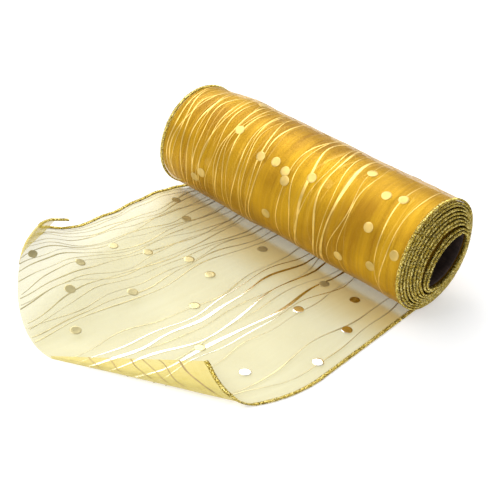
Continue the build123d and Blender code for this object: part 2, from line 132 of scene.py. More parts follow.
def math_node(nodes, links, operation, a, b=None, clamp=False):
    node = nodes.new("ShaderNodeMath")
    node.operation = operation
    node.use_clamp = clamp
    for socket, value in zip(node.inputs, (a, b)):
        if value is None:
            continue
        if isinstance(value, (int, float)):
            socket.default_value = value
        else:
            links.new(value, socket)
    return node.outputs[0]


def ramp_node(nodes, links, factor, stops):
    node = nodes.new("ShaderNodeValToRGB")
    links.new(factor, node.inputs["Fac"])
    elements = node.color_ramp.elements
    for number, (position, colour) in enumerate(stops):
        element = elements[number] if number < 2 else elements.new(position)
        element.position = position
        element.color = (*colour, 1.0)
    return node.outputs["Color"]


def noise_node(nodes, links, vector, scale, detail=2.0, roughness=0.5):
    node = nodes.new("ShaderNodeTexNoise")
    node.inputs["Scale"].default_value = scale
    node.inputs["Detail"].default_value = detail
    node.inputs["Roughness"].default_value = roughness
    links.new(vector, node.inputs["Vector"])
    return node.outputs["Fac"]


def bump_node(nodes, links, height, strength, distance):
    node = nodes.new("ShaderNodeBump")
    node.inputs["Strength"].default_value = strength
    node.inputs["Distance"].default_value = distance
    links.new(height, node.inputs["Height"])
    return node.outputs["Normal"]


def attribute_node(nodes, name):
    node = nodes.new("ShaderNodeAttribute")
    node.attribute_name = name
    return node.outputs["Fac"]


def tint_node(nodes, links, factor, colour, tint):
    """A colour taken some way towards a plain tint."""
    node = nodes.new("ShaderNodeMix")
    node.data_type = "RGBA"
    links.new(factor, node.inputs[0])
    links.new(colour, node.inputs[6])
    node.inputs[7].default_value = (*tint, 1.0)
    return node.outputs[2]


THREAD_PITCH = 0.00042  # metres from one thread of the sheer weave to the next


def weave(nodes, links):
    """How much thread covers each point of the cloth, 0 to 1, in the cloth's own coordinates."""
    uv = nodes.new("ShaderNodeUVMap")
    uv.uv_map = "cloth"
    split = nodes.new("ShaderNodeSeparateXYZ")
    links.new(uv.outputs["UV"], split.inputs[0])
    covers = []
    for axis in ("X", "Y"):
        turned = math_node(nodes, links, "MULTIPLY", split.outputs[axis], 2 * math.pi / THREAD_PITCH)
        wave = math_node(nodes, links, "SINE", turned)
        half = math_node(nodes, links, "MULTIPLY", wave, 0.5)
        covers.append(math_node(nodes, links, "ADD", half, 0.5))
    return math_node(nodes, links, "MAXIMUM", covers[0], covers[1]), uv.outputs["UV"]


CLOUD_SCALE = 28.0
STREAK_SCALE = (14.0, 420.0, 1.0)  # along the ribbon and across it
SHEEN_COLOUR = (1.0, 0.85, 0.30)
# painted shade for the roll's inner turns
INNER_TURN_SHADE = (0.16, 0.07, 0.003)
# painted gold reflection and shadow of the roll, on the loose cloth beside it
ROLL_REFLECTION_TINT = (0.66, 0.42, 0.015)
RELIEF = 0.0012  # metres


def sheer_material(name, pale, deep, alpha_low, alpha_high, roughness, wound=False):
    """Sheer synthetic cloth: threads with gaps between, a soft sheen and uneven colour.

    Its depth attribute paints shade on the inner turns where it is wound, and paints a gold reflection
    and shadow of the roll on the loose cloth beside it.
    """
    material, nodes, links, shader = new_material(name)
    cover, uv = weave(nodes, links)
    cloud = noise_node(nodes, links, uv, CLOUD_SCALE, 3.0)
    streak_map = nodes.new("ShaderNodeMapping")
    streak_map.inputs["Scale"].default_value = STREAK_SCALE
    links.new(uv, streak_map.inputs["Vector"])
    streak = noise_node(nodes, links, streak_map.outputs["Vector"], 1.0, 2.0)
    mixed = math_node(nodes, links, "ADD", cloud, math_node(nodes, links, "MULTIPLY", streak, 0.5))
    factor = math_node(nodes, links, "SUBTRACT", mixed, 0.25, clamp=True)
    low, high = (0.34, 0.68) if wound else (0.25, 0.75)
    colour = ramp_node(nodes, links, factor, ((low, deep), (high, pale)))
    depth = attribute_node(nodes, "depth")
    span = math_node(nodes, links, "MULTIPLY", cover, alpha_high - alpha_low)
    alpha = math_node(nodes, links, "ADD", span, alpha_low, clamp=True)
    shader.inputs["Roughness"].default_value = roughness
    shader.inputs["Specular Tint"].default_value = (*SHEEN_COLOUR, 1.0)
    relief = math_node(nodes, links, "MULTIPLY", cover, 0.06)
    if wound:
        alpha = math_node(nodes, links, "ADD", alpha, depth, clamp=True)
        # painted shade: the inner turns taken towards a dark brown
        painted_shade = math_node(nodes, links, "MULTIPLY", depth, 0.8)
        colour = tint_node(nodes, links, painted_shade, colour, INNER_TURN_SHADE)
        shader.inputs["Metallic"].default_value = 0.35
        relief = math_node(nodes, links, "ADD", relief, math_node(nodes, links, "ADD", streak, cloud))
        strength = 0.5
    else:
        # painted reflection and shadow of the gold roll on the loose cloth beside it
        painted_reflection = math_node(nodes, links, "MULTIPLY", depth, 0.9)
        colour = tint_node(nodes, links, painted_reflection, colour, ROLL_REFLECTION_TINT)
        more = math_node(nodes, links, "MULTIPLY", depth, 0.42)
        alpha = math_node(nodes, links, "ADD", alpha, more, clamp=True)
        shader.inputs["Sheen Weight"].default_value = 0.12
        shader.inputs["Sheen Roughness"].default_value = 0.4
        strength = 0.25
    links.new(colour, shader.inputs["Base Color"])
    links.new(alpha, shader.inputs["Alpha"])
    links.new(bump_node(nodes, links, relief, strength, RELIEF), shader.inputs["Normal"])
    return material


def thread_material():
    """Metallic thread: tight twisted gold film, bright and dark in small facets."""
    material, nodes, links, shader = new_material("metallic_thread")
    coordinates = nodes.new("ShaderNodeTexCoord")
    cells = nodes.new("ShaderNodeTexVoronoi")
    cells.inputs["Scale"].default_value = 2600.0
    links.new(coordinates.outputs["Object"], cells.inputs["Vector"])
    split = nodes.new("ShaderNodeSeparateColor")
    links.new(cells.outputs["Color"], split.inputs[0])
    stops = (
        (0.0, (0.060, 0.040, 0.003)),
        (0.26, (0.300, 0.210, 0.016)),
        (0.62, (0.660, 0.490, 0.060)),
        (0.88, (1.0, 0.88, 0.36)),
    )
    links.new(ramp_node(nodes, links, split.outputs[0], stops), shader.inputs["Base Color"])
    rough = math_node(nodes, links, "MULTIPLY", split.outputs[1], 0.35)
    links.new(math_node(nodes, links, "ADD", rough, 0.18), shader.inputs["Roughness"])
    shader.inputs["Metallic"].default_value = 0.75
    links.new(bump_node(nodes, links, split.outputs[2], 0.6, 0.00012), shader.inputs["Normal"])
    return material


def foil_material(name, colour, roughness, metallic):
    """Hot-stamped gold foil: smooth metal with faint creases and a little wear."""
    material, nodes, links, shader = new_material(name)
    coordinates = nodes.new("ShaderNodeTexCoord")
    crinkle = noise_node(nodes, links, coordinates.outputs["Object"], 900.0, 3.0)
    patch = noise_node(nodes, links, coordinates.outputs["Object"], 160.0, 2.0)
    dull = tuple(0.7 * c for c in colour)
    links.new(ramp_node(nodes, links, patch, ((0.3, dull), (0.62, colour))), shader.inputs["Base Color"])
    shader.inputs["Metallic"].default_value = metallic
    rough = math_node(nodes, links, "MULTIPLY", crinkle, 0.25)
    links.new(math_node(nodes, links, "ADD", rough, roughness), shader.inputs["Roughness"])
    links.new(bump_node(nodes, links, crinkle, 0.25, 0.0001), shader.inputs["Normal"])
    return material


def paperboard_material():
    """Dark grey-brown paperboard: fibres along the tube, blotches and a worn edge, its colour taken down to
    near black as painted shade inside the tube.
    """
    material, nodes, links, shader = new_material("paperboard")
    coordinates = nodes.new("ShaderNodeTexCoord")
    fibre_map = nodes.new("ShaderNodeMapping")
    fibre_map.inputs["Scale"].default_value = (900.0, 90.0, 900.0)
    links.new(coordinates.outputs["Object"], fibre_map.inputs["Vector"])
    fibre = noise_node(nodes, links, fibre_map.outputs["Vector"], 1.0, 4.0)
    blotch = noise_node(nodes, links, coordinates.outputs["Object"], 120.0, 3.0)
    factor = math_node(nodes, links, "MULTIPLY", fibre, blotch)
    # painted shade: the board's dark grey-brown taken down to near black so the inside of the tube reads
    # dark
    stops = ((0.12, (0.010, 0.006, 0.005)), (0.40, (0.045, 0.026, 0.020)))
    links.new(ramp_node(nodes, links, factor, stops), shader.inputs["Base Color"])
    shader.inputs["Roughness"].default_value = 0.8
    shader.inputs["Specular IOR Level"].default_value = 0.2
    links.new(bump_node(nodes, links, fibre, 0.5, 0.0002), shader.inputs["Normal"])
    return material


def steel_material():
    """Drawn steel wire."""
    material, nodes, links, shader = new_material("wire_steel")
    coordinates = nodes.new("ShaderNodeTexCoord")
    drawn = noise_node(nodes, links, coordinates.outputs["Object"], 1500.0, 2.0)
    stops = ((0.3, (0.35, 0.35, 0.36)), (0.7, (0.6, 0.6, 0.6)))
    links.new(ramp_node(nodes, links, drawn, stops), shader.inputs["Base Color"])
    shader.inputs["Metallic"].default_value = 1.0
    shader.inputs["Roughness"].default_value = 0.35
    return material


def tape_material():
    """Cream paper tape."""
    material, nodes, links, shader = new_material("start_tape")
    coordinates = nodes.new("ShaderNodeTexCoord")
    grain = noise_node(nodes, links, coordinates.outputs["Object"], 700.0, 3.0)
    stops = ((0.3, (0.55, 0.48, 0.32)), (0.7, (0.72, 0.66, 0.48)))
    links.new(ramp_node(nodes, links, grain, stops), shader.inputs["Base Color"])
    shader.inputs["Roughness"].default_value = 0.5
    return material


PALE = (0.62, 0.58, 0.27)
PALE_DEEP = (0.54, 0.48, 0.17)
FOLDED = (0.74, 0.62, 0.15)
FOLDED_DEEP = (0.66, 0.50, 0.07)
GOLD = (0.84, 0.48, 0.018)
GOLD_DEEP = (0.42, 0.20, 0.005)
SHEER = sheer_material("sheer_web", PALE, PALE_DEEP, 0.42, 0.62, 0.45)
SHEER_FOLDED = sheer_material("sheer_folded", FOLDED, FOLDED_DEEP, 0.50, 0.72, 0.45)
WOUND = sheer_material("wound_web", GOLD, GOLD_DEEP, 0.38, 0.66, 0.36, wound=True)
THREAD = thread_material()
FOIL = foil_material("gold_foil", (0.90, 0.62, 0.17), 0.22, 0.8)
FOIL_SPOT = foil_material("gold_foil_spot", (0.74, 0.52, 0.15), 0.3, 0.6)
FOIL_TAIL = foil_material("gold_foil_sheer", (0.60, 0.52, 0.26), 0.2, 0.55)
# a lit copy of the tail foil, near white and mirror-smooth: painted glint on chosen lines and dots
FOIL_GLINT = foil_material("gold_foil_painted_glint", (0.97, 0.93, 0.80), 0.08, 1.0)
FOIL_BACK = foil_material("foil_seen_through", (0.42, 0.29, 0.10), 0.45, 0.2)
BOARD = paperboard_material()
STEEL = steel_material()
TAPE = tape_material()


# ---- mesh helpers -----------------------------------------------------------------------------------
def add_mesh(name, points, faces, material, uv=None, depth=None):
    """A mesh object from millimetre points, with cloth coordinates in metres at its corners."""
    mesh = bpy.data.meshes.new(name)
    mesh.from_pydata(place(points).tolist(), [], faces)
    mesh.materials.append(material)
    mesh.polygons.foreach_set("use_smooth", [True] * len(mesh.polygons))
    if uv is not None:
        layer = mesh.uv_layers.new(name="cloth")
        corners = np.empty(len(mesh.loops), int)
        mesh.loops.foreach_get("vertex_index", corners)
        layer.data.foreach_set("uv", (np.asarray(uv, float)[corners] * MM).ravel())
    if depth is not None:
        attribute = mesh.attributes.new("depth", "FLOAT", "POINT")
        attribute.data.foreach_set("value", np.asarray(depth, np.float32))
    mesh.update()
    piece = bpy.data.objects.new(name, mesh)
    bpy.context.scene.collection.objects.link(piece)
    return piece


def fit(piece, body, node=None):
    """Puts a piece on its body, and hides the CAD node it stands for, if any."""
    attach(piece, body)
    if node:
        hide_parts(node)


def grid_faces(rows, columns, close_columns=False, first=0):
    faces = []
    last = columns if close_columns else columns - 1
    for i in range(rows - 1):
        for j in range(last):
            k = (j + 1) % columns
            a, b = first + i * columns + j, first + i * columns + k
            faces.append((a, b, b + columns, a + columns))
    return faces


def grid_mesh(name, points, material, uv=None, depth=None):
    rows, columns = points.shape[:2]
    flat_uv = None if uv is None else np.asarray(uv).reshape(-1, 2)
    flat_depth = None if depth is None else np.asarray(depth).ravel()
    return add_mesh(name, points.reshape(-1, 3), grid_faces(rows, columns), material, flat_uv, flat_depth)


def joined(parts):
    """Several (points, faces) as one."""
    points, faces, count = [], [], 0
    for part_points, part_faces in parts:
        points.append(np.asarray(part_points).reshape(-1, 3))
        faces += [tuple(index + count for index in face) for face in part_faces]
        count += len(points[-1])
    return np.concatenate(points), faces


def unit(vectors):
    return vectors / np.maximum(np.linalg.norm(vectors, axis=-1, keepdims=True), 1e-9)


def tangents(path):
    return unit(np.gradient(path, axis=0))


def lengths(path):
    return np.concatenate(([0.0], np.cumsum(np.linalg.norm(np.diff(path, axis=0), axis=1))))


def tube(path, normal, width, height, sides):
    """A closed tube along a path, an oval across it, with round caps."""
    path, normal = np.asarray(path), np.asarray(normal)
    along = tangents(path)
    across = unit(np.cross(along, normal))
    up = np.cross(across, along)
    angles = np.arange(sides) * 2 * math.pi / sides
    ring = across[:, None] * (width * np.cos(angles))[None, :, None]
    ring = ring + up[:, None] * (height * np.sin(angles))[None, :, None]
    points = (path[:, None] + ring).reshape(-1, 3)
    faces = grid_faces(len(path), sides, close_columns=True)
    faces.append(tuple(range(sides))[::-1])
    faces.append(tuple(range((len(path) - 1) * sides, len(path) * sides)))
    return points, faces


STITCH_PITCH = 0.78
STITCH_SAMPLES = 9
THREAD_RADIUS = 0.25
PAD_INSET = 0.42  # the padded cord inside the stitches


def resample(path, *others, step):
    """A path and what goes with it, at even steps."""
    run = lengths(path)
    count = max(3, int(round(run[-1] / step)) + 1)
    at = np.linspace(0, run[-1], count)
    results = []
    for values in (path, *others):
        columns = [np.interp(at, run, values[:, k]) for k in range(values.shape[1])]
        results.append(np.stack(columns, axis=1))
    return at, results


def binding(name, path, normal, seed):
    """An edge sewn over with metallic thread: a padded cord, and stitches wound round it."""
    step = STITCH_PITCH / STITCH_SAMPLES
    at, (fine, up) = resample(np.asarray(path), np.asarray(normal), step=step)
    up = unit(up)
    along = tangents(fine)
    across = unit(np.cross(along, up))
    up = np.cross(across, along)
    local = np.random.default_rng(seed)
    stitch = at / STITCH_PITCH
    count = int(stitch[-1]) + 3
    wobble = np.interp(stitch, np.arange(count), local.normal(0, 1, count))
    phase = 2 * math.pi * stitch + 0.35 * wobble
    reach = 1.0 + 0.07 * np.interp(stitch, np.arange(count), local.normal(0, 1, count))
    width = (BINDING_HALF - THREAD_RADIUS) * reach
    rise = BINDING_RISE - THREAD_RADIUS
    coil = fine + across * (width * np.cos(phase))[:, None] + up * (rise * np.sin(phase))[:, None]
    outward = across * np.cos(phase)[:, None] + up * np.sin(phase)[:, None]
    pad_every = max(1, STITCH_SAMPLES // 3)
    pad = tube(fine[::pad_every], up[::pad_every], BINDING_HALF - PAD_INSET, rise, 8)
    wound = tube(coil, outward, THREAD_RADIUS, THREAD_RADIUS, 4)
    points, faces = joined([pad, wound])
    return add_mesh(name, points, faces, THREAD)


WIRE_RADIUS = 0.2
WIRE_STEP = 2.0


def wire(name, path, normal):
    """The shaping wire inside a binding."""
    _, (fine, up) = resample(np.asarray(path), np.asarray(normal), step=WIRE_STEP)
    points, faces = tube(fine, unit(up), WIRE_RADIUS, WIRE_RADIUS, 6)
    return add_mesh(name, points, faces, STEEL)


# ---- the printed pattern: wavy foil lines and round dots, in the ribbon's own coordinates -------------
LINE_GROUPS = ((71.0, 14.0, 19), (-4.0, -40.0, 9), (-60.0, -66.0, 2))  # from y, to y, how many
LINE_WAVES = ((120.0, 2.2), (62.0, 1.5), (34.0, 0.65))  # length and height
LINE_HALVES = [0.18, 0.22, 0.27]
WIDE_LINES = ((21, 0.55), (23, 0.42), (25, 0.62))  # which line, and its half width
# the lines that get the painted glint
GLINT_LINES = (20, 21, 23, 25, 26)
LINE_MARGIN = 2.0  # from a line to the middle of a binding


def pattern_lines():
    """Each line's place across the ribbon, its waves and its half width."""
    lines = []
    for first, last, count in LINE_GROUPS:
        for number in range(count):
            base = first + (last - first) * number / max(count - 1, 1)
            waves = []
            for length, height in LINE_WAVES:
                longer = length * rng.uniform(0.85, 1.2)
                higher = height * rng.uniform(0.5, 1.1)
                waves.append((longer, higher, rng.uniform(0, 2 * math.pi)))
            lines.append({"y": base, "waves": waves, "half": rng.choice(LINE_HALVES)})
    for number, half in WIDE_LINES:
        lines[number]["half"] = half
    return lines


LINES = pattern_lines()


def line_y(line, s):
    """A line's place across the ribbon at each s."""
    y = np.full_like(s, line["y"])
    for length, height, phase in line["waves"]:
        y = y + height * np.sin(2 * math.pi * s / length + phase)
    return np.clip(y, -EDGE_MIDDLE + LINE_MARGIN, EDGE_MIDDLE - LINE_MARGIN)


def line_half(line, s):
    """Its half width there, which swells and thins along it."""
    swell = 1.0 + 0.35 * np.sin(2 * math.pi * s / 47.0 + line["waves"][0][2] * 3)
    return line["half"] * swell


def strips(surface, runs):
    """Foil strips on a surface: each run gives s, y and half width; surface gives points and normals."""
    parts = []
    for s, y, half in runs:
        rows = []
        for across, lift in ((-1.0, 0.06), (0.0, 0.12), (1.0, 0.06)):
            points, normals = surface(s, y + across * half)
            rows.append(points + normals * lift)
        grid = np.stack(rows, axis=1)
        parts.append((grid, grid_faces(len(s), 3)))
    return joined(parts)


DOT_RADIUS = 2.45
DOT_LIFT = 0.16
DOT_SIDES = 28
DOT_RINGS = ((0.30, 0.0), (0.7, 0.0), (0.94, 0.0), (1.0, -0.08))  # share of the radius, and drop


def dots(surface, centres):
    """Round foil discs that follow a surface, each with a turned-down rim."""
    angles = np.arange(DOT_SIDES) * 2 * math.pi / DOT_SIDES
    parts = []
    for s0, y0 in centres:
        rings = []
        for share, drop in DOT_RINGS:
            s = s0 + DOT_RADIUS * share * np.cos(angles)
            y = y0 + DOT_RADIUS * share * np.sin(angles)
            points, normals = surface(s, y)
            rings.append(points + normals * (DOT_LIFT + drop))
        grid = np.stack(rings)
        faces = grid_faces(len(rings), DOT_SIDES, close_columns=True)
        faces.append(tuple(range(DOT_SIDES))[::-1])
        parts.append((grid, faces))
    return joined(parts)


# ---- the wound roll -----------------------------------------------------------------------------------
SPIRAL_OUTER = ROLL_RADIUS - BINDING_RISE
SPIRAL_INNER = CORE_MEAN + BINDING_RISE + UNDER_FOIL


def spiral_arcs():
    """Centre, radius and first angle of each quarter arc, from the outside in, as in the CAD model."""
    arcs = []
    centre = np.array([0.0, ROLL_HEIGHT])
    boundary = CORE_TILT - 135.0
    radius = SPIRAL_OUTER
    for number in range(4 * TURNS + 1):
        share = number / (4 * TURNS)
        mean = SPIRAL_OUTER + (SPIRAL_INNER - SPIRAL_OUTER) * share
        flattening = CORE_FLATTENING * share
        new_radius = mean + (flattening / 2 if number % 2 == 0 else -flattening / 2)
        if number:
            turn = math.radians(boundary)
            centre = centre + (radius - new_radius) * np.array([math.cos(turn), math.sin(turn)])
        radius = new_radius
        arcs.append((centre, radius, boundary))
        boundary += 90.0
    return arcs


ARCS = spiral_arcs()
LOOSE_SIDE = 122.0  # the roll's upper left side, where the turns stand apart in groups
# how far in or out each turn stands there, from the outermost to the innermost
LOOSE = np.array([0.0, -0.4, -0.8, -1.2, -1.5, -1.15, -1.6, -2.0, 0.5, 0.1, 0.0])
LOW_SIDE = 232.0  # and its lower left side
EVEN_UNTIL = 300.0  # degrees over which the outer turn goes from even to uneven
LOW = np.array([0.0, -0.1, -0.2, -0.3, -0.4, -0.5, -0.55, -0.65, 0.35, 0.1, 0.0])


def spiral(angle):
    """The wound ribbon's middle at each angle from the start, as (x, z), with outward normals."""
    angle = np.asarray(angle, float)
    index = np.clip(((angle - ARCS[0][2]) // 90.0).astype(int), 0, len(ARCS) - 1)
    centres = np.array([arc[0] for arc in ARCS])[index]
    radii = np.array([arc[1] for arc in ARCS])[index]
    turn = np.radians(angle)
    normal = np.stack([np.cos(turn), np.sin(turn)], axis=-1)
    inward = np.zeros_like(angle)
    for side, gaps, sharpness in ((LOOSE_SIDE, LOOSE, 2.0), (LOW_SIDE, LOW, 6.0)):
        which = np.clip(np.round((angle - side) / 360.0).astype(int), 0, len(gaps) - 1)
        window = np.clip(np.cos(np.radians(angle - side)), 0, 1) ** sharpness
        inward = inward + gaps[which] * window
    fade = smooth((angle - START_ANGLE) / EVEN_UNTIL)
    uneven = np.sin(np.radians(angle * 2.3 + 40)) * np.sin(np.radians(angle * 0.37))
    inward = fade * (inward + 0.2 * uneven + 0.09 * np.sin(np.radians(angle * 5.3)))
    reach = radii - inward - 0.12 * fade * (1 + np.sin(np.radians(angle * 3.1)))
    return centres + normal * reach[..., None], normal


FINE_ANGLES = np.arange(START_ANGLE, 360.0 * TURNS + START_ANGLE + 0.1, 3.0)
FINE_RUN = lengths(spiral(FINE_ANGLES)[0])
RIGHT_END_OUT = 3.4  # how much further out the roll's right end stands
PINCH = 2.8  # how far in the roll's left end is pressed
PINCH_SIDE = 62.0


def drift(angle, y):
    """How far each turn has moved out along the axis, with the right end standing out further."""
    turn = (np.asarray(angle, float) - START_ANGLE) / 360.0
    right = RIGHT_END_OUT * smooth(turn * 3) * smooth((25.0 - y) / 100.0)
    return -TELESCOPE * turn - 0.16 * np.sin(turn * 2.1) * np.sin(np.radians(angle)) - right


def slack(angle, y):
    """Shallow swells of the web between its wired edges, none at the edges."""
    edge = 1 - (np.abs(y) / EDGE_MIDDLE) ** 6
    turn = np.radians(angle)
    swell = 0.20 * np.sin(y / 9.0 + 2.2 * np.sin(turn)) + 0.16 * np.sin(y / 23.0 - 1.7 * turn)
    diagonal = 0.13 * np.sin(y / 5.5 + turn * 5.0) * np.sin(y / 31.0 + turn)
    return (swell + diagonal - 0.12) * edge


def pinch(angle, y):
    """The left end is pressed in a little on the roll's upper back."""
    side = np.clip(np.cos(np.radians(angle - PINCH_SIDE)), 0, 1) ** 2
    return PINCH * side * smooth((y - 42.0) / 32.0) * np.clip(1 - (angle - START_ANGLE) / 2400.0, 0.2, 1)


def wound_surface(s, y):
    """A point of the wound ribbon and its outward normal."""
    angle = np.interp(s, FINE_RUN, FINE_ANGLES)
    flat, normal = spiral(angle)
    rise = slack(angle, y) - pinch(angle, y)
    points = np.stack([flat[..., 0] + normal[..., 0] * rise, y + drift(angle, y),
                       flat[..., 1] + normal[..., 1] * rise], axis=-1)
    normals = np.stack([normal[..., 0], np.zeros_like(angle), normal[..., 1]], axis=-1)
    return points, normals


def wired_edge(part, body, path, normals, seed):
    """A binding and the wire in it, for one edge of one part of the ribbon."""
    edge = binding(f"{part}_thread", path, normals, seed)
    fit(edge, body, f"{part}_binding")
    core = wire(f"{part}_shaping_wire", path, normals)
    fit(core, body, f"{part}_wire")


def roll_cloth():
    """The wound web, one spiral sheet that grows denser further in, with painted shade on its inner turns.
    """
    s_values = np.linspace(0, FINE_RUN[-1], 760)
    y_values = np.linspace(-EDGE_MIDDLE, EDGE_MIDDLE, 84)
    s, y = np.meshgrid(s_values, y_values, indexing="ij")
    points, _ = wound_surface(s, y)
    angle = np.interp(s_values, FINE_RUN, FINE_ANGLES)
    # how far the outer turns lie over each part: denser cloth there, and painted shade on the inner turns
    covered_and_shaded = 0.35 * smooth((angle - 200.0) / 160.0) + 0.65 * smooth((angle - 420.0) / 900.0)
    depth = covered_and_shaded[:, None] * np.ones_like(y)
    web = grid_mesh("wound_web", points, WOUND, np.stack([s, y], axis=-1), depth)
    fit(web, "roll", "roll_web")
    return web


def roll_edges():
    for side, y_edge, seed in (("left", EDGE_MIDDLE, 5), ("right", -EDGE_MIDDLE, 6)):
        run = np.arange(0, FINE_RUN[-1], 1.0)
        points, normals = wound_surface(run, np.full_like(run, y_edge))
        wired_edge(f"roll_{side}", "roll", points, normals, seed)


PRINTED_TO = 610.0  # degrees; the print further in can't be seen


def roll_foil():
    s = np.arange(0.5, np.interp(PRINTED_TO, FINE_ANGLES, FINE_RUN), 2.2)
    runs = [(s, line_y(line, s), line_half(line, s)) for line in LINES]
    points, faces = strips(wound_surface, runs)
    lines = add_mesh("roll_foil_lines", points, faces, FOIL)
    fit(lines, "roll")
    points, faces = dots(wound_surface, ROLL_DOTS)
    spots = add_mesh("roll_foil_spots", points, faces, FOIL_SPOT)
    fit(spots, "roll", "roll_foil_dots")


ROLL_DOTS = (  # (s, y): round the roll from where it touches the floor, and across it
    (101, 34), (135, 51), (130, 46), (108, 15), (107, 6), (109, -1), (113, -3), (106, -15),
    (133, 3), (89, -37), (97, -51), (95, -59), (114, -52), (120, -69), (131, -58), (135, -40),
    (21, 30), (36, -20), (50, 55), (62, 8), (68, -48), (77, 40), (12, -60), (155, 20),
    (164, -30), (171, 62), (54, -66), (28, 68), (249, 25), (272, -22), (290, 44), (311, -50),
)  # fmt: skip


# ---- the core ---------------------------------------------------------------------------------------
CORE_LONGER = 2.6  # how much further the core reaches at the right end
CORE_RIM = (0.25, 0.55, 0.85)  # rings of the frayed rim, by depth into the wall


def core_pieces():
    """The squashed paperboard tube, dented inside and frayed at both rims."""
    tip_centre, tip_radius, _ = ARCS[4 * TURNS - 1]
    tip_turn = math.radians(CORE_TILT + 180.0)
    setback = CORE_FLATTENING / math.sqrt(2)
    axis = tip_centre - setback * np.array([math.cos(tip_turn), math.sin(tip_turn)])
    outer_tip = tip_radius - BINDING_RISE - UNDER_FOIL
    angles = np.radians(np.arange(0, 360, 3.0))
    low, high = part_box("core_tube")
    y_low, y_high = (low[1] - AXIS_Y) / MM - CORE_LONGER, (high[1] - AXIS_Y) / MM

    def oval(inset):
        """The squashed tube's outline, from its quarter arcs."""
        local = (np.degrees(angles) - CORE_TILT + 45.0) % 360.0
        quarter = (local // 90.0).astype(int)
        tip = quarter % 2 == 0
        middle = np.radians(CORE_TILT + 90.0 * quarter)
        radius = outer_tip - inset + np.where(tip, 0.0, CORE_FLATTENING)
        back = np.where(tip, setback, -setback)
        x = axis[0] + back * np.cos(middle) + radius * np.cos(angles)
        z = axis[1] + back * np.sin(middle) + radius * np.sin(angles)
        return x, z

    def rim(y, outward, insets, coarse, fine):
        """Rings across the wall's end, which fray in and out."""
        for inset in insets:
            x, z = oval(inset)
            fray = 0.12 * np.sin(angles * coarse + inset * 30) + 0.08 * np.sin(angles * fine)
            rings.append(np.stack([x, np.full_like(x, y) + outward * fray * 0.5, z], axis=1))

    rings = []
    steps = np.linspace(y_low, y_high, 56)
    for y in steps:
        x, z = oval(0.02)
        rings.append(np.stack([x, np.full_like(x, y), z], axis=1))
    rim(y_high, 1.0, CORE_RIM, 17, 41)
    for y in steps[::-1]:
        dent = 0.30 * np.sin(angles * 3 + y / 13.0) * np.sin(y / 21.0 + angles) + 0.3
        facet = 0.22 * np.abs(np.sin(angles * 4 + y / 30.0))
        depth = np.maximum(dent * 0.5 + facet - 0.2, 0.0)
        x, z = oval(CORE_WALL)
        inner = [x - np.cos(angles) * depth, np.full_like(x, y), z - np.sin(angles) * depth]
        rings.append(np.stack(inner, axis=1))
    rim(y_low, -1.0, CORE_RIM[::-1], 19, 37)
    grid = np.stack(rings)
    count = len(angles)
    faces = grid_faces(len(grid), count, close_columns=True)
    last = (len(grid) - 1) * count
    for j in range(count):
        k = (j + 1) % count
        faces.append((last + j, last + k, k, j))
    tube_piece = add_mesh("paperboard_core", grid.reshape(-1, 3), faces, BOARD)
    fit(tube_piece, "roll", "core_tube")
    frame["nodes"]["start_tape"].data.materials.clear()
    frame["nodes"]["start_tape"].data.materials.append(TAPE)


# ---- the tail: its outline from above, and its height ------------------------------------------------
EDGE_STRAIGHT = 72.2
BEND_RADIUS = 60.0
BEND_ANGLE = 34.0
CREASE_ANGLE = math.radians(115.2)
CREASE_LENGTH = 95.0
CREASE_DIRECTION = np.array([math.cos(CREASE_ANGLE), math.sin(CREASE_ANGLE)])
BEND_CENTRE = np.array([-EDGE_STRAIGHT, -EDGE_MIDDLE + BEND_RADIUS])
CREASE_RIGHT = BEND_CENTRE + BEND_RADIUS * np.array(
    [math.cos(math.radians(-90 - BEND_ANGLE)), math.sin(math.radians(-90 - BEND_ANGLE))]
)
CREASE_LEFT = CREASE_RIGHT + CREASE_LENGTH * CREASE_DIRECTION
FAR_CORNER = np.array([-105.0, EDGE_MIDDLE])
END_BULGE = np.array([-137.6, 54.5])
CREASE_SHARE = 0.5  # of the ribbon's width, where the crease runs out at the cut end
STRAIGHT_RUN = EDGE_STRAIGHT + TAIL_START
RIGHT_RUN = STRAIGHT_RUN + BEND_RADIUS * math.radians(BEND_ANGLE)


def circle_through(a, b, c):
    """Centre and radius of the circle through three points."""
    chords = np.array([b - a, c - b])
    middles = np.array([(a + b) / 2, (b + c) / 2])
    centre = np.linalg.solve(chords, (chords * middles).sum(axis=1))
    return centre, np.linalg.norm(a - centre)


END_CENTRE, END_RADIUS = circle_through(CREASE_LEFT, END_BULGE, FAR_CORNER)
END_FIRST = math.atan2(*(CREASE_LEFT - END_CENTRE)[::-1])
END_LAST = math.atan2(*(FAR_CORNER - END_CENTRE)[::-1])


def end_line(v):
    """The tail's far boundary from above: the crease, then the curved cut end."""
    v = np.asarray(v, float)
    share = np.clip(v / CREASE_SHARE, 0, 1)
    crease = CREASE_RIGHT + (CREASE_LEFT - CREASE_RIGHT) * share[..., None]
    first = END_FIRST % (2 * math.pi)
    last = END_LAST % (2 * math.pi)
    turn = first + (last - first) * np.clip((v - CREASE_SHARE) / (1 - CREASE_SHARE), 0, 1)
    arc = END_CENTRE + END_RADIUS * np.stack([np.cos(turn), np.sin(turn)], axis=-1)
    return np.where((v <= CREASE_SHARE)[..., None], crease, arc)


def right_line(u):
    """The tail's right edge from above, by its share of its length."""
    run = np.asarray(u, float) * RIGHT_RUN
    straight = np.stack([TAIL_START - run, np.full_like(run, -EDGE_MIDDLE)], axis=-1)
    turn = -math.pi / 2 - (run - STRAIGHT_RUN) / BEND_RADIUS
    bend = BEND_CENTRE + BEND_RADIUS * np.stack([np.cos(turn), np.sin(turn)], axis=-1)
    return np.where((run < STRAIGHT_RUN)[..., None], straight, bend)


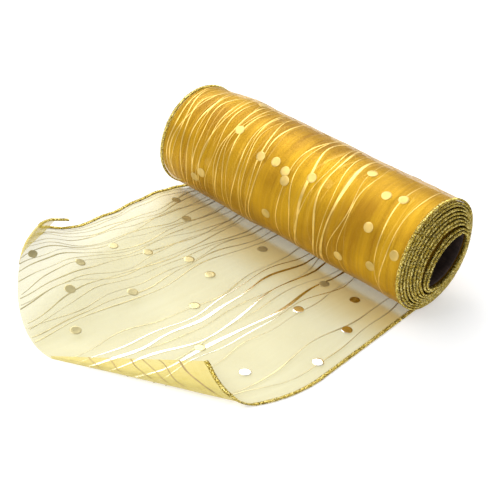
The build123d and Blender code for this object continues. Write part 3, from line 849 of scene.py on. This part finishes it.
def left_line(u):
    """The tail's left edge from above, by its share of its length."""
    u = np.asarray(u, float)
    x = TAIL_START + (FAR_CORNER[0] - TAIL_START) * u
    return np.stack([x, np.full_like(u, EDGE_MIDDLE)], axis=-1)


LIFT_NEAR = 6.2  # how high the left edge stands beside the roll, once it is this far from it:
LIFT_NEAR_RUN = 16.0
LIFT_MIDDLE = 7.6  # how much it climbs over this run of the tail,
LIFT_MIDDLE_RUN = 63.0
LIFT_CORNER = 13.05  # and how much more at the curled corner
LIFT_CORNER_START = -80.0
LIFT_CORNER_RUN = 30.0
FLAT_WIDTH = 25.0  # how far past the middle the tail lies flat at its end
FLAT_START = -107.0
FLAT_RUN = 40.0


def left_lift(x):
    """How high the tail's left edge stands: it leaves the roll, climbs slowly, then curls up."""
    x = np.minimum(x, 0.0)
    climb = LIFT_NEAR + LIFT_MIDDLE * np.clip((TAIL_START - x) / LIFT_MIDDLE_RUN, -0.3, 1.0)
    climb = climb * (1 - np.exp(-((x / LIFT_NEAR_RUN) ** 2)))
    return climb + LIFT_CORNER * smooth((LIFT_CORNER_START - x) / LIFT_CORNER_RUN)


def tail_height(x, y):
    """The tail's height: flat on its right, rising towards its left edge, which is a little wavy."""
    flat_until = FLAT_WIDTH * smooth((FLAT_START - x) / FLAT_RUN)
    share = np.clip((y - flat_until) / (HALF_WIDTH - flat_until), 0.0, 1.2)
    waves = (0.30 * np.sin(x / 2.9) + 0.35 * np.sin(x / 6.7 + 1.0)) * smooth((TAIL_START - x) / 12.0)
    return FLOOR_WEB + (left_lift(x) + waves) * share**2


def tail_plan(u, v):
    """The tail from above: a patch between its four boundaries."""
    u, v = np.broadcast_arrays(np.asarray(u, float), np.asarray(v, float))
    start = np.stack([np.full_like(v, TAIL_START), EDGE_MIDDLE * (2 * v - 1)], axis=-1)
    corners = (
        (1 - u)[..., None] * ((1 - v)[..., None] * np.array([TAIL_START, -EDGE_MIDDLE])
                              + v[..., None] * np.array([TAIL_START, EDGE_MIDDLE]))
        + u[..., None] * ((1 - v)[..., None] * CREASE_RIGHT + v[..., None] * FAR_CORNER)
    )
    across = (1 - v)[..., None] * right_line(u) + v[..., None] * left_line(u)
    along = (1 - u)[..., None] * start + u[..., None] * end_line(v)
    return across + along - corners


def ripple(u, v):
    """Soft swells of the loose web, none along its edges and crease."""
    window = np.sin(math.pi * np.clip(v, 0, 1)) * np.sin(math.pi * np.clip(u, 0, 1)) ** 0.7
    swell = 1.1 * np.sin(3.1 * math.pi * v + 1.5 * u) + 0.8 * np.sin(5.3 * u + 4.0 * v)
    return (swell + 1.1) * window


def tail_patch(u, v):
    """A point of the tail, by its shares along it and across it."""
    plan = tail_plan(u, v)
    height = tail_height(plan[..., 0], plan[..., 1]) + ripple(u, v)
    return np.concatenate([plan, np.maximum(height, 0.4)[..., None]], axis=-1)


def patch_normals(patch, u, v, step=0.004):
    """A patch's normals, turned upwards."""
    du = patch(u + step, v) - patch(u - step, v)
    dv = patch(u, v + step) - patch(u, v - step)
    normals = unit(np.cross(dv, du))
    return np.where(normals[..., 2:3] < 0, -normals, normals)


def line_run(v):
    """The tail's length along the ribbon at each v, so that the pattern keeps its scale."""
    end = end_line(np.asarray(v, float))
    rise = np.maximum(tail_height(end[..., 0], end[..., 1]) - 8.0, 0)
    return np.abs(end[..., 0] - TAIL_START) + 0.3 * rise


def tail_surface(s, y):
    """A point of the tail from the ribbon's own coordinates, s below TAIL_START, and its normal."""
    s, y = np.broadcast_arrays(np.asarray(s, float), np.asarray(y, float))
    v = (y / EDGE_MIDDLE + 1) / 2
    u = (TAIL_START - s) / line_run(v)
    return tail_patch(u, v), patch_normals(tail_patch, u, v)


CURL_FROM = 0.84  # of the width, where the cut end starts to turn over
CURL_LENGTH = 24.0
CURL_RADIUS = 3.7
CURL_TURN = 3.3  # radians
CURL_START = (1.2, 0.7)  # its length and radius where it starts
CUT_END = -150.0  # the cut end's own s, where the cloth's pattern goes on into the curl


def curl_points(v, share):
    """The cut end's turned-over strip, which ends in the curled far corner."""
    grow = smooth((v - CURL_FROM) / (1 - CURL_FROM))
    first_length, first_radius = CURL_START
    radius = first_radius + (CURL_RADIUS - first_radius) * grow
    reach = (first_length + (CURL_LENGTH - first_length) * grow) * share
    base = tail_patch(np.ones_like(v), v)
    inner = tail_patch(np.ones_like(v) - 0.02, v)
    out = unit(base - inner)
    up = patch_normals(tail_patch, np.ones_like(v) - 0.01, v)
    turn = np.minimum(reach / radius, CURL_TURN)
    rest = reach - turn * radius
    ahead = radius * np.sin(turn) + rest * np.cos(turn)
    above = radius * (1 - np.cos(turn)) + rest * np.sin(turn)
    return base + out * ahead[..., None] + up * above[..., None], up


def roll_reflection_share(x):
    """Share of painted gold reflection and shadow of the roll on the loose cloth: most beside the roll,
    none where it pays out, full where the lead wraps onto the roll.
    """
    tail = 0.62 * smooth((x + 46.0) / 29.0) * (1 - smooth((x - TAIL_START) / 4.0))
    return tail + smooth((x + 2.5) / 2.5)


def mark_painted_glint(piece, chosen, total):
    """Gives some of the equal lines or dots in a mesh a second foil: a near-white, mirror-smooth copy that
    paints a glint on them.
    """
    piece.data.materials.append(FOIL_GLINT)
    each = len(piece.data.polygons) // total
    index = np.zeros(len(piece.data.polygons), np.int32)
    for number in chosen:
        index[number * each : (number + 1) * each] = 1
    piece.data.polygons.foreach_set("material_index", index)


def tail_cloth():
    u, v = np.meshgrid(np.linspace(0, 1, 150), np.linspace(0, 1, 150), indexing="ij")
    points = tail_patch(u, v)
    cloth = np.stack([TAIL_START - u * line_run(v), EDGE_MIDDLE * (2 * v - 1)], axis=-1)
    web = grid_mesh("tail_sheer", points, SHEER, cloth, roll_reflection_share(points[..., 0]))
    fit(web, "tail", "tail_web")
    return web


def tail_curl():
    share, v = np.meshgrid(np.linspace(0, 1, 40), np.linspace(CURL_FROM, 1, 50), indexing="ij")
    points, _ = curl_points(v, share)
    cloth = np.stack([CUT_END - share * CURL_LENGTH, EDGE_MIDDLE * (2 * v - 1)], axis=-1)
    curl = grid_mesh("tail_curled_end", points, SHEER_FOLDED, cloth)
    fit(curl, "tail")
    return curl


def tail_edges():
    """The left binding goes on round the curled corner; the right one lies on the floor."""
    u = np.linspace(0, 1, 160)
    curl_run = np.linspace(0.03, 1, 30)
    curl_edge, _ = curl_points(np.ones_like(curl_run), curl_run)
    left = np.concatenate([tail_patch(u, np.ones_like(u)), curl_edge])
    left_up = unit(np.cross(tangents(left), (0.0, 1.0, 0.0)))
    wired_edge("tail_left", "tail", left, left_up, 7)
    right = tail_patch(u, np.zeros_like(u))
    right[:, 2] = FLOOR_WEB
    right_up = np.tile((0.0, 0.0, 1.0), (len(right), 1))
    wired_edge("tail_right", "tail", right, right_up, 8)


def tail_foil():
    runs = []
    for line in LINES:
        v_line = (line["y"] / EDGE_MIDDLE + 1) / 2
        last = TAIL_START - float(line_run(v_line)) * 0.995
        s = np.linspace(TAIL_START, last, 70)
        runs.append((s, line_y(line, s), line_half(line, s)))
    points, faces = strips(tail_surface, runs)
    lines = add_mesh("tail_foil_lines", points, faces, FOIL_TAIL)
    mark_painted_glint(lines, GLINT_LINES, len(LINES))
    fit(lines, "tail")
    points, faces = dots(tail_surface, TAIL_DOTS)
    spots = add_mesh("tail_foil_spots", points, faces, FOIL_TAIL)
    bright = [number for number, (_, y) in enumerate(TAIL_DOTS) if y < GLINT_BELOW]
    mark_painted_glint(spots, bright, len(TAIL_DOTS))
    fit(spots, "tail", "tail_foil_dots")


# dots past this get the painted glint, the lit copy of the foil
GLINT_BELOW = -33.0  # the dots nearer the right edge than this catch the light
TAIL_DOTS = (  # (s, y) along the ribbon and across it
    (-122, 53), (-102, 41), (-79, 48), (-67, 36), (-54, 22), (-54, 8), (-34, 48),
    (-27, 64), (-115, 29), (-91, 17), (-75, -5), (-127, 10), (-94, -28), (-92, -52),
    (-22, 8), (-45, -38), (-22, -32), (-40, -62), (-65, -67), (-21, -50),
)  # fmt: skip


# ---- the folded corner -------------------------------------------------------------------------------
FLAP_EDGE = np.array(  # the folded part of the wired edge, from the floor, over, to the cut end
    [
        (*CREASE_RIGHT, FLOOR_WEB), (-108.1, -61.6, 1.2), (-110.1, -59.9, 2.6), (-111.8, -57.4, 4.8),
        (-112.5, -54.0, 6.2), (-111.6, -49.3, 7.0), (-109.3, -43.4, 7.2), (-106.4, -38.1, 6.8),
        (-104.0, -33.4, 6.0),
    ]
)  # fmt: skip


def through(points, share):
    """A smooth curve through points, by the share of its length."""
    share = np.clip(np.asarray(share, float), 0, 1)
    run = lengths(points)
    at = share * run[-1]
    slopes = np.gradient(points, run, axis=0)
    index = np.clip(np.searchsorted(run, at, side="right") - 1, 0, len(points) - 2)
    gap = (run[index + 1] - run[index])[..., None]
    t = (at - run[index])[..., None] / gap
    start, end = points[index], points[index + 1]
    first, last = slopes[index] * gap, slopes[index + 1] * gap
    return (
        (2 * t**3 - 3 * t**2 + 1) * start + (t**3 - 2 * t**2 + t) * first
        + (3 * t**2 - 2 * t**3) * end + (t**3 - t**2) * last
    )


def flap_patch(a, b):
    """The folded corner, a soft cone: a from the wired edge to its point, b from the crease over it."""
    a, b = np.broadcast_arrays(np.asarray(a, float), np.asarray(b, float))
    edge = through(FLAP_EDGE, b)
    foot = tail_patch(np.ones_like(a), a * CREASE_SHARE)
    start = FLAP_EDGE[0]
    folded = foot + (edge - start) * (1 - a)[..., None]
    lift = 0.5 * np.sin(math.pi * np.clip(b, 0, 1)) * np.clip(a * 6, 0, 1) * (1 - a) ** 0.5
    folded[..., 2] += lift + 1.6 * smooth(b * 3) * a
    ripple_along = 0.35 * np.sin(a * 17 + 1.0) * np.sin(math.pi * np.clip(b, 0, 1)) * (1 - a)
    folded[..., 2] += ripple_along
    return folded


CREASE_APEX = np.array([*CREASE_LEFT, FLOOR_WEB])
FOLD_START = -110.0  # the fold's own s, where the cloth's pattern goes on into it
FOLD_DEPTH = 45.0
FOLD_WIDTH = 85.0
FOLD_LINES = ((0.13, 0.6), (0.27, 0.35), (0.37, 0.35), (0.46, 0.35), (0.61, 0.35), (0.74, 0.35))
BLEND_FROM = 0.1  # heights above the flat web between which the fold takes over from the tail
BLEND_OVER = 1.5


def flap_blend():
    """Where the tail gives over to the flap: straight up from the middle of the crease."""
    middle = (CREASE_RIGHT + CREASE_LEFT) / 2
    start = np.array([middle[0], middle[1], FLOOR_WEB + BLEND_FROM])
    return place(start), place(start + np.array([0, 0, BLEND_OVER]))


def flap_pieces():
    a, b = np.meshgrid(np.linspace(0, 1, 110), np.linspace(0, 1, 80), indexing="ij")
    points = flap_patch(a, b)
    cloth = np.stack([FOLD_START - FOLD_DEPTH * b, -EDGE_MIDDLE + HALF_WIDTH * a], axis=-1)
    web = grid_mesh("flap_sheer", points, SHEER_FOLDED, cloth)
    edge_b = np.linspace(0, 1, 120)
    path = flap_patch(np.zeros_like(edge_b), edge_b)
    facing = np.cross(tangents(path), path - CREASE_APEX)
    normals = unit(facing * np.where(facing[:1, 2:3] > 0, -1.0, 1.0))
    edge = binding("flap_thread", path, normals, 9)
    core = wire("flap_shaping_wire", path, normals)
    runs = []
    for along, half in FOLD_LINES:
        share = np.linspace(0, 0.99, 60)
        bend = 0.10 * (share - 0.5) + 0.015 * np.sin(share * 7 + along * 20)
        runs.append((share, along + bend * (1 - along), half / FOLD_WIDTH * np.ones_like(share)))

    def surface(share, along):
        return flap_patch(along, share), patch_normals(flap_patch, along, np.clip(share, 0.01, 0.985))

    points, faces = strips(surface, runs)
    lines = add_mesh("flap_foil_lines", points, faces, FOIL_BACK)
    pieces = (
        (web, "flap_web", "sheer"),
        (edge, "flap_binding", "binding"),
        (core, "flap_wire", "wire"),
        (lines, None, "foil"),
    )
    for piece, node, slot in pieces:
        fit(piece, "corner_flap", node)
    return web, [piece for piece, _, _ in pieces], flap_blend()


# ---- the lead, from the tail under the roll -------------------------------------------------------------
LEAD_RADIUS = ROLL_HEIGHT - FLOOR_WEB
LEAD_WRAP = math.radians(25.0)
LEAD_BLEND_TO = -1.0  # from here on the lead keeps with the roll


def lead_surface(s, y):
    """The lead: s from TAIL_START to 0 on the floor, and above 0 round the roll."""
    s, y = np.broadcast_arrays(np.asarray(s, float), np.asarray(y, float))
    turn = np.maximum(s, 0) / LEAD_RADIUS
    x = np.where(s < 0, s, LEAD_RADIUS * np.sin(turn))
    share = np.clip(y / HALF_WIDTH, 0, 1.2) ** 2
    lifted = FLOOR_WEB + left_lift(np.minimum(s, 0)) * share
    wrapped = ROLL_HEIGHT - LEAD_RADIUS * np.cos(turn)
    points = np.stack([x, y, np.where(s < 0, lifted, wrapped)], axis=-1)
    normals = np.stack([-np.sin(turn), np.zeros_like(turn), np.cos(turn)], axis=-1)
    return points, normals


def lead_pieces():
    last = LEAD_RADIUS * LEAD_WRAP
    s_values = np.linspace(TAIL_START, last, 90)
    s, y = np.meshgrid(s_values, np.linspace(-EDGE_MIDDLE, EDGE_MIDDLE, 90), indexing="ij")
    points, _ = lead_surface(s, y)
    web = grid_mesh("lead_sheer", points, SHEER, np.stack([s, y], axis=-1), roll_reflection_share(s))
    pieces = [(web, "lead_web", "sheer")]
    for side, y_edge, seed in (("left", EDGE_MIDDLE, 12), ("right", -EDGE_MIDDLE, 13)):
        path, normals = lead_surface(s_values, np.full_like(s_values, y_edge))
        edge = binding(f"lead_{side}_thread", path, normals, seed)
        pieces.append((edge, f"lead_{side}_binding", "binding"))
        core = wire(f"lead_{side}_shaping_wire", path, normals)
        pieces.append((core, f"lead_{side}_wire", "wire"))
    s = np.linspace(TAIL_START, last * 0.98, 60)
    runs = [(s, line_y(line, s), line_half(line, s)) for line in LINES]
    points, faces = strips(lead_surface, runs)
    lines = add_mesh("lead_foil_lines", points, faces, FOIL_TAIL)
    mark_painted_glint(lines, GLINT_LINES, len(LINES))
    pieces.append((lines, None, "foil"))
    start = place((TAIL_START, 0, 0))
    end = place((LEAD_BLEND_TO, 0, 0))
    for piece, node, slot in pieces:
        fit(piece, "lead", node)
    return web, [piece for piece, _, _ in pieces], (start, end)


roll_web = roll_cloth()
roll_edges()
roll_foil()
core_pieces()
tail_web = tail_cloth()
curled_end = tail_curl()
tail_edges()
tail_foil()
flap_web, flap_all, flap_ends = flap_pieces()
lead_web, lead_all, lead_ends = lead_pieces()

for pieces, bodies, ends in (
    (flap_all, ("tail", "corner_flap"), flap_ends),
    (lead_all, ("tail", "lead"), lead_ends),
):
    for piece in pieces:
        piece.parent = None  # a piece that lies between two bodies hangs on neither
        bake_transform(piece)


# ---- floor, backdrop and light ---------------------------------------------------------------------------
WHITE = (1.0, 1.0, 1.0, 1.0)
FLOOR_REACH = 6.0  # metres


def stage_material():
    material, _, _, shader = new_material("pale_floor")
    shader.inputs["Base Color"].default_value = (0.70, 0.70, 0.70, 1.0)
    shader.inputs["Emission Color"].default_value = WHITE
    shader.inputs["Emission Strength"].default_value = 0.40
    shader.inputs["Roughness"].default_value = 0.9
    shader.inputs["Specular IOR Level"].default_value = 0.1
    return material


floor_mesh = bpy.data.meshes.new("floor")
floor_corners = [(x * FLOOR_REACH, y * FLOOR_REACH, 0) for x, y in ((-1, -1), (1, -1), (1, 1), (-1, 1))]
floor_mesh.from_pydata(floor_corners, [], [(0, 1, 2, 3)])
floor_mesh.materials.append(stage_material())
floor = bpy.data.objects.new("floor", floor_mesh)
bpy.context.scene.collection.objects.link(floor)


def area_light(name, position, target, size, power):
    light = bpy.data.lights.new(name, "AREA")
    light.shape = "RECTANGLE"
    light.size, light.size_y = size
    light.energy = power
    lamp = bpy.data.objects.new(name, light)
    lamp.location = position
    aim = Vector(target) - Vector(position)
    lamp.rotation_mode = "QUATERNION"
    lamp.rotation_quaternion = aim.to_track_quat("-Z", "Y")
    bpy.context.scene.collection.objects.link(lamp)


area_light("key_softbox", (-0.55, 0.35, 0.95), (0, 0, 0), (0.9, 0.9), 6.5)
area_light("back_softbox", (0.75, 0.75, 0.75), (-0.02, 0, 0.02), (0.9, 0.6), 4.5)
area_light("roll_softbox", (0.3, 0.78, 1.05), (0.05, 0, 0.03), (0.9, 0.5), 7.0)
area_light("front_fill", (-0.6, -0.9, 0.7), (0, 0, 0), (0.8, 0.8), 2.5)

world = bpy.data.worlds.new("studio")
world.use_nodes = True
world.node_tree.nodes["Background"].inputs["Color"].default_value = WHITE
world.node_tree.nodes["Background"].inputs["Strength"].default_value = 0.56
bpy.context.scene.world = world
bpy.context.scene.view_settings.view_transform = "Standard"
